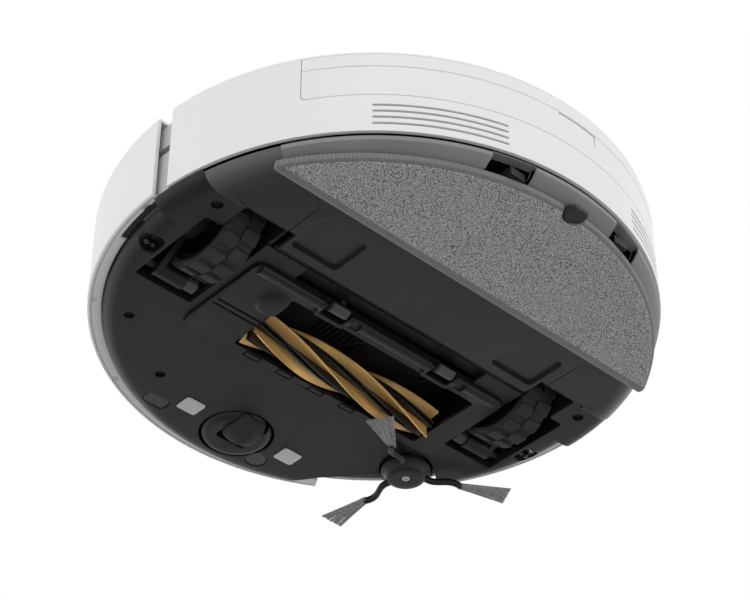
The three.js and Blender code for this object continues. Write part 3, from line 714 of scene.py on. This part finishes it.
def chassis():
    front = kept(pan(166), slab((-180, 180), (-180, 3), (-1, 20)))
    rear = kept(pan(173.6), slab((-180, 180), (3, 41), (-1, 20)))
    body = joined(front, rear)
    body = cut(body, slab((-106.8, 106.8), (23.5, 60), (-1, 20)), *brush_clearance())
    body = joined(
        body, well(1, (1, 64), 2), well(-1, (1, 64), 2), disc(8.6, (4, 7), CLIFF),
        disc(8.6, (4, 7), (-CLIFF[0], CLIFF[1])), slab((-99, 73), (-63, 1.5), (1, 25)),
        disc(26.5, (1, 25), (0, CASTER_Y), 64),
        shift(spun([(17.9, 0.5), (20, 0.5), (20, 14), (17.9, 14)], 64, closed=True), *SPINNER),
        disc(20, (12.3, 14), SPINNER, 48), slab((-74, 74), (11, 23), (5, 7.5)),
        slab((-76, -74), (11, 23), (2, 7.5)), slab((74, 76), (11, 23), (2, 7.5)))
    holes = [
        slab((-104.5, 100), (-64.3, 10.1), (-1, 1.1), 5), slab((-74, 74), (10.1, 23), (-1, 5)),
        slab((-97, 71), (-61, -0.5), (-1, 23), 3), slab((-28, 28), (-8, 4), (8, 18)),
        rod(4.2, (-102, -96), -44.4, 5), disc(24.5, (-1, 23), (0, CASTER_Y), 64),
        disc(4.4, (22, 26), (0, CASTER_Y)), disc(3.4, (11, 15), SPINNER),
        *[kept(disc(7.6, (-1, 4.6), (s * CLIFF[0], CLIFF[1])), slab(sorted((s * 149.4, s * 170)), (-40, 0),
                                                                    (-2, 6), 1))
          for _, s in SIDES],
        slab((51.5, 68.5), (-143.5, -133), (-1, 1.6), 3), disc(7, (-1, 1.8), (-28, -144.5)),
        disc(3.6, (-1, 2.6), (149, 30.4), 24), disc(3.6, (-1, 2.6), (-149, 30.4), 24),
        disc(3.2, (-1, 2.6), (125, -82), 24), disc(3.2, (-1, 2.6), (75, -115), 24), well(1, (-1, 62), 0, 2),
        well(-1, (-1, 62), 0, 2)]
    for _, s in SIDES:
        x = sorted((s * 32.7, s * 48.3))
        holes.append(slab(x, (-134.3, -120.2), (-1, 4), 2))
        holes.append(rod(2.7, sorted((s * 104, s * 149.5)), -41, 6.5, 24))
    body = cut(body, *holes)
    made_piece("chassis_floor", body, CHARCOAL, ["chassis_base"], soften=0.35)
    for number, (x, y) in enumerate(SCREWS, 1):
        head = cut(disc(2.4, (1.9, 2.7), (x, y), 32, 0.3),
                   slab((x - 0.4, x + 0.4), (y - 1.6, y + 1.6), (1, 2.3)),
                   slab((x - 1.6, x + 1.6), (y - 0.4, y + 0.4), (1, 2.3)))
        made_piece(f"chassis_screw_{number}", head, DARK, body="chassis", slot="grey_plastic")


def rear_floor():
    bowl = spun([(0, -3.5), (158, -3.5), (161.5, -3.3), (164.5, -2.7), (167.3, -1.5), (169.7, 0.4),
                 (171.5, 2.8), (172.6, 5), (173, 6.4), (170.6, 6.6), (170.6, 8.3), (168.6, 8.3), (168.4, 5),
                 (166.8, 2), (161, -0.5), (0, -0.5)], 144)
    wide = kept(bowl, slab((-180, 180), (41.3, 180), (-5, 20)))
    middle = slab((-106.5, 106.5), (29, 60), (-3.5, -0.5))
    slope = run_x([(24, 0.3), (25.2, -0.7), (27, -2.2), (28.6, -3.2), (30.2, -3.5), (30.2, -0.5), (24, 3)],
                  (-106.5, 106.5))
    band = spun([(163, -3.1), (167.6, -2), (173.4, 3.4), (173.5, 6.4), (168, 6.4)], 120, (-60, 60),
                closed=True)
    body = joined(wide, middle, slope)
    holes = []
    for _, s in SIDES:
        holes.append(slab(sorted((s * 64, s * 99)), (35.5, 65), (-4.5, -1.1), 3))
        holes.append(slab(sorted((s * 33, s * 60)), (152, 180), (-4.5, 6.5)))
        holes.append(well(s, (-5, 12), 4))
        holes.append(slab(sorted((s * 106.9, s * 107.3)), (39, 70), (-4.5, -3)))
    body = cut(body, *holes)
    made_piece("rear_floor", body, SKIRT, ["rear_base"], soften=0.4)
    band = cut(band, *[slab(sorted((s * 33, s * 60)), (152, 180), (-4.5, 6.2)) for _, s in SIDES])
    # The band takes the painted highlight grey.
    made_piece("rear_band", band, BAND_PAINTED_HIGHLIGHT, body=BODIES["rear_base"], slot=SLOTS["rear_base"], soften=0.3)


# ---------------------------------------------------------------- brush cover
CLIPS = (("left", 36.5), ("right", -51.5))


def cover():
    body = slab((-104.2, 99.7), (-64, 9.8), (-2, 0.8), 6)
    bar = run_x([(1.2, -1.5), (2.6, -3.2), (4.6, -4), (6.8, -4), (8.6, -3.2), (9.8, -1.4), (9.8, 0.8),
                 (1.2, 0.8)], (-98, 95.7))
    cap = shift(spun([(0, -4.4), (7.6, -4.4), (8.4, -4), (11.4, -1.8), (11.4, 0), (0, 0)], 48), 69, -14)
    towers = [slab((x - 11.5, x + 11.5), (-2.6, 9.8), (-3.6, 0.8), 2) for _, x in CLIPS]
    body = joined(body, bar, cap, *towers)
    holes = [slab((-88, 63), (-58, -3), (-5, 5), 2)]
    for _, x in CLIPS:
        holes.append(slab((x - 9, x + 9), (0.4, 12), (-5, 5), 1))
        holes.append(plate([(x - 21, 1), (x - 14, 1), (x - 12.4, 8.6), (x - 19, 8.6)], (-5, -1.2)))
    for i in range(5):
        x = 46 - 26 * i
        rim = cut(slab((x - 6, x + 6), (-63, -58.6), (-3, -0.6)),
                  slab((x - 5.3, x + 5.3), (-62.3, -59.2), (-4, 0)))
        holes.append(rim)
        holes.append(slab((x - 3.5, x + 3.5), (-59, -57), (-5, 5), 0.8))
    for y in (-36, -31.6):
        holes.append(slab((63, 97.5), (y - 0.8, y + 0.8), (-2.5, -0.6), 0.7))
    holes.append(plate([(59.5, -5.5), (50, -6.5), (57, -11.5)], (-5, 5)))
    body = cut(body, *holes)
    made_piece("brush_frame", body, CHARCOAL, ["brush_cover"], soften=0.45)
    for name, x in CLIPS:
        tab = run_x([(3.6, -1.6), (7, -4.8), (9.5, -5), (12.6, -2.4), (12.6, -1), (9.6, 0.4), (3.6, 0.6)],
                    (x - 6.4, x + 6.4))
        made_piece(f"frame_clip_{name}", tab, GREY, [f"cover_clip_{name}"], soften=0.5)


def comb():
    body = slab((-86, 62), (-57, -22), (20.6, 22.7), 2)
    ribs = []
    for x in (-58, -1, 56):
        rib = turn(slab((-23, 23), (-0.8, 0.8), (-1.5, 1.5)), "Z", -52)
        ribs.append(kept(shift(rib, x, -38, 19.8), slab((-86, 62), (-56, -22), (10, 30))))
    teeth = [slab((-14 + 4 * i, -12.6 + 4 * i), (-40, -24), (18.7, 21)) for i in range(9)]
    made_piece("chamber_comb", joined(body, *ribs, *teeth), CHARCOAL, ["comb_insert"], soften=0.3)


# ---------------------------------------------------------------- main brush
BRUSH_Y, BRUSH_Z, BRUSH_X = -44.4, 5, (-86.5, 62)


def blade_angle(x, index):
    """Degrees from straight down towards the front."""
    return -42.6 - 1.4 * (x - 6) + 90 * index


def wound(line, x, index, steps=84):
    """A section in the plane across the brush, of points (out, side), carried along the brush and wound."""
    bm = bmesh.new()
    a = math.radians(blade_angle(x[0], index))
    at = [bm.verts.new((x[0], -out * math.sin(a) + side * math.cos(a),
                        -out * math.cos(a) - side * math.sin(a)))
          for out, side in line]
    edges = [bm.edges.new(pair) for pair in zip(at, at[1:] + at[:1])]
    bmesh.ops.spin(bm, geom=at + edges, cent=(0, 0, 0), axis=(1, 0, 0),
                   angle=math.radians(1.4 * (x[1] - x[0])), dvec=((x[1] - x[0]) / steps, 0, 0), steps=steps)
    bmesh.ops.holes_fill(bm, edges=[e for e in bm.edges if e.is_boundary])
    bmesh.ops.recalc_face_normals(bm, faces=bm.faces)
    return shift(bm, 0, BRUSH_Y, BRUSH_Z)


def main_brush():
    core = joined(rod(4.5, BRUSH_X, BRUSH_Y, BRUSH_Z, 32), rod(3.8, (-101, 0), BRUSH_Y, BRUSH_Z, 24),
                  rod(2.5, (0, 70.4), BRUSH_Y, BRUSH_Z, 24))
    x = (BRUSH_X[0] + 1, BRUSH_X[1] - 1)
    strips = [wound([(3.6, side - 0.6), (9.4, side * 1.15 - 0.5), (9.6, side * 1.15),
                     (9.4, side * 1.15 + 0.5), (3.6, side + 0.6)], x,
                     0.5 + i) for i in range(4) for side in (-1.3, 1.3)]
    made_piece("brush_roller", together(core, *strips), DARK, ["brush_core"])
    for i in range(4):
        fin = wound([(4.6, -1.5), (5.8, -0.8), (9, -0.6), (12.4, -0.5), (13, 0.1), (12.9, 0.6), (9, 0.6),
                     (5.8, 0.9), (4.6, 1.6)], x, i)
        made_piece(f"brush_fin_{i + 1}", fin, COPPER, [f"brush_blade_{i + 1}"])


# ---------------------------------------------------------------- wheels
def tyre(s):
    x, y, z = s * 121.5, -4, 25.5
    ring = spun_x([(30, -11.3), (32.6, -11.5), (33.2, -10.8), (33.2, 10.8), (32.6, 11.5), (30, 11.3)], y, z,
                  96, closed=True)
    blocks = []
    for column in (-1, 1):
        block = slab((column * 5.75 - 5.4, column * 5.75 + 5.4), (-4.3, 4.3), (31.5, 35))
        round_off(block, 0.7, lambda e: min(v.co.z for v in e.verts) > 34 or abs(upright(e)), 2)
        for i in range(16):
            one = block.copy()
            blocks.append(shift(turn(one, "X", (i + (column + 1) / 4) * 22.5), 0, y, z))
        block.free()
    return shift(together(ring, *blocks), x)


def wheels():
    for name, s in SIDES:
        made_piece(f"{name}_tread", tyre(s), RUBBER, [f"{name}_tyre"], sharp=40)


# ---------------------------------------------------------------- caster
def caster():
    y, z = CASTER_Y, 4.5
    cup = spun([(0, -1.2), (12, -2.1), (18, -2.4), (20.2, -2.1), (21.4, -1.3), (22.9, 0.8), (22.9, 21.4),
                (4, 21.4), (4, 27), (0, 27)], 72)
    cup = cut(cup, slab((-11.6, 11.6), (-8, 21.6), (-5, 19.6), 3), rod(2.2, (-15.4, 15.4), 7, z))
    made_piece("caster_cup", shift(cup, 0, y), CHARCOAL, ["caster_fork"], soften=0.5)
    profile = [(0, -11), (9.2, -11), (10.8, -10.2), (12.2, -8.8), (13.2, -6.8), (13.8, -4.4), (14, -2),
               (14, 2), (13.8, 4.4), (13.2, 6.8), (12.2, 8.8), (10.8, 10.2), (9.2, 11), (0, 11)]
    wheel = spun_x(profile, y + 7, z, 72)
    ribs = []
    for x in (-1.6, 0, 1.6):
        for i in range(44):
            rib = slab((x - 0.6, x + 0.6), (-0.35, 0.35), (13.5, 14.3))
            ribs.append(shift(turn(rib, "X", (i + (x == 0) / 2) * 360 / 44), 0, y + 7, z))
    made_piece("caster_roller", together(wheel, rod(1.9, (-15, 15), y + 7, z), *ribs), RUBBER,
               ["caster_wheel"])


# ---------------------------------------------------------------- side brush
BRISTLES = 84


def side_brush():
    cx, cy = SPINNER
    hub = spun([(0, -7.2), (2.9, -7.2), (3.1, -8.5), (9, -8.7), (11.6, -8.3), (12.8, -7.4), (13.4, -5.6),
                (14.6, -3.8), (16.5, -2.6), (16.5, -0.6), (3, -0.6), (3, 13.4), (0, 13.4)], 72)
    made_piece("spinner_hub", shift(hub, cx, cy), CHARCOAL, ["side_brush_hub"], sharp=40)
    screw = cut(disc(2.8, (-8.3, -6.9), steps=32, edge=0.3), slab((-0.4, 0.4), (-1.7, 1.7), (-9, -7.7)),
                slab((-1.7, 1.7), (-0.4, 0.4), (-9, -7.7)))
    made_piece("spinner_screw", shift(screw, cx, cy), SILVER, ["side_brush_screw"])
    rng = random.Random(4)
    for i in range(3):
        a = 33 + 120 * i
        arm = turn(disc(2.3, (11, 38.5), steps=24, edge=1), "Y", 90)
        for x in range(14, 38, 3):
            bmesh.ops.bisect_plane(arm, geom=[*arm.verts, *arm.edges, *arm.faces], plane_co=(x, 0, 0),
                                   plane_no=(1, 0, 0))
        for v in arm.verts:
            t = (v.co.x - 11) / 27.5
            v.co.y += 2.2 * math.sin(2 * math.pi * t)
            v.co.z += -4.4 - 3 * t
        made_piece(f"spinner_arm_{i + 1}", shift(turn(arm, "Z", a), cx, cy), CHARCOAL, body="side_brush",
                   slot="black_plastic", sharp=40)
        hairs = []
        for k in range(BRISTLES):
            spread = (k + 0.5) / BRISTLES * 2 - 1
            start = Vector((36, spread * 1.9, -7.0 + rng.uniform(-1.1, 1.1)))
            end = Vector((69.6 + rng.uniform(-0.6, 0.4), spread * 9.2 + rng.uniform(-0.15, 0.15),
                          -8.9 + rng.uniform(-0.2, 0.5)))
            hairs.append(hair(start, end, rng.uniform(-0.15, 0.15)))
        made_piece(f"spinner_tuft_{i + 1}", shift(turn(together(*hairs), "Z", a), cx, cy), NYLON,
                   [f"side_brush_tuft_{i + 1}"], sharp=80)


def hair(start, end, bow, r=0.36):
    bm = bmesh.new()
    bmesh.ops.create_circle(bm, cap_ends=True, segments=4, radius=r,
                            matrix=Matrix.Rotation(math.pi / 2, 4, "Y"))
    steps = 5
    for step in range(1, steps + 1):
        face = max(bm.faces, key=lambda f: f.calc_center_median().x)
        carried(bm, face, (1, 0, 0))
        if step > 1:
            bmesh.ops.delete(bm, geom=[face], context="FACES_ONLY")
    for v in bm.verts:
        t = v.co.x / steps
        at = start.lerp(end, t)
        thin = 1 - 0.45 * t
        v.co = Vector((at.x, at.y + v.co.y * thin + bow * math.sin(math.pi * t), at.z + v.co.z * thin))
    return bm


# ---------------------------------------------------------------- mop
MOP_FRONT, MOP_BACK = 80.3, 167
MOP_R, MOP_Y = 178.7, -11.7


def mop():
    pad = bmesh.new()
    bmesh.ops.create_grid(pad, x_segments=420, y_segments=120, size=1)
    for v in pad.verts:
        t = (v.co.y + 1) / 2
        y = MOP_FRONT + t * (MOP_BACK - MOP_FRONT)
        half = math.sqrt(max(0.0, MOP_R ** 2 - (y - MOP_Y) ** 2)) - 4 * max(0.0, 1 - t / 0.06) ** 2
        x = v.co.x * half
        inset = max(0.0, min(y - MOP_FRONT, MOP_R - math.hypot(x, y - MOP_Y), half - abs(x)))
        rise = 2 * max(0.0, 1 - inset / 3.4) ** 2
        loops = noise.noise(Vector((x * 0.7, y * 0.7, 0))) * 0.28 * min(1.0, inset / 8)
        v.co = Vector((x, y, -9.2 + rise + loops))
    bmesh.ops.remove_doubles(pad, verts=pad.verts, dist=0.01)
    edge = [e for e in pad.edges if e.is_boundary]
    grown = bmesh.ops.extrude_edge_only(pad, edges=edge)["geom"]
    bmesh.ops.translate(pad, verts=[v for v in grown if isinstance(v, bmesh.types.BMVert)], vec=(0, 0, 3.4))
    bmesh.ops.holes_fill(pad, edges=[e for e in pad.edges if e.is_boundary])
    bmesh.ops.recalc_face_normals(pad, faces=pad.faces)
    made = cut(pad, disc(8, (-20, 20), (0, CATCH_Y), 48), slab((-8, 8), (CATCH_Y, 180), (-20, 20)))
    ob = made_piece("mop_cloth", made, KNIT, ["mop_pad"], sharp=50)
    catch = kept(spun([(0, -8.6), (6.4, -8.6), (7.3, -8), (7.5, -7), (7.5, -5.7), (0, -5.7)], 48),
                 slab((-20, 20), (-20, 5), (-10, 0)))
    made_piece("mop_catch", shift(catch, 0, CATCH_Y), DARK, ["mop_release"], soften=0.3)


# ---------------------------------------------------------------- small pieces
def small_pieces():
    for name, s in SIDES:
        pad = slab(sorted((s * 33, s * 48)), (-134, -120.5), (-0.6, 3.4), 1.8)
        made_piece(f"contact_{name}", pad, SILVER, [f"charge_contact_{name}"], soften=0.4)
        lamps = [shift(spun([(0, 1.4), (1.5, 1.8), (2.1, 3), (2.1, 4.5), (0, 4.5)], 24),
                       s * (152.6 + 4.4 * k), -24)
                 for k in (0, 1)]
        ramp = run_x([(-20.6, 3.4), (-16.4, 1.6), (-16.4, 4.5), (-20.6, 4.5)], sorted((s * 151.4, s * 157.6)))
        made_piece(f"cliff_eyes_{name}", together(ramp, *lamps), PIANO, [f"cliff_lens_{name}"], soften=0.15)


def dress_cad():
    """Better finishes for the CAD nodes that stay as they are."""
    looks = {
        "front_frame": PALE, "battery": GREY, "main_board": GREEN, "suction_fan": GREY, "suction_duct": DARK,
        "brush_motor": GREY, "brush_bearing": GREY, "side_brush_motor": SILVER, "tank_body": SMOKED,
        "tank_lid": DARK, "filter": GREY, "mop_plate": CHARCOAL, "mop_latch_left": DARK,
        "mop_latch_right": DARK, "left_hub": CHARCOAL, "right_hub": CHARCOAL, "left_arm": CHARCOAL,
        "right_arm": CHARCOAL, "left_pivot_pin": DARK, "right_pivot_pin": DARK, "left_spring": GREY,
        "right_spring": GREY, "cliff_lens_front": WINDOW, "carpet_sensor": WINDOW,
    }
    for node, finish in looks.items():
        ob = frame["nodes"][node]
        for slot in ob.material_slots:
            slot.material = finish


camera()
studio()
floor()
back_shell()
drawer_front()
bumper_skin()
top_lid()
turret()
chassis()
rear_floor()
cover()
comb()
main_brush()
wheels()
caster()
side_brush()
mop()
small_pieces()
dress_cad()
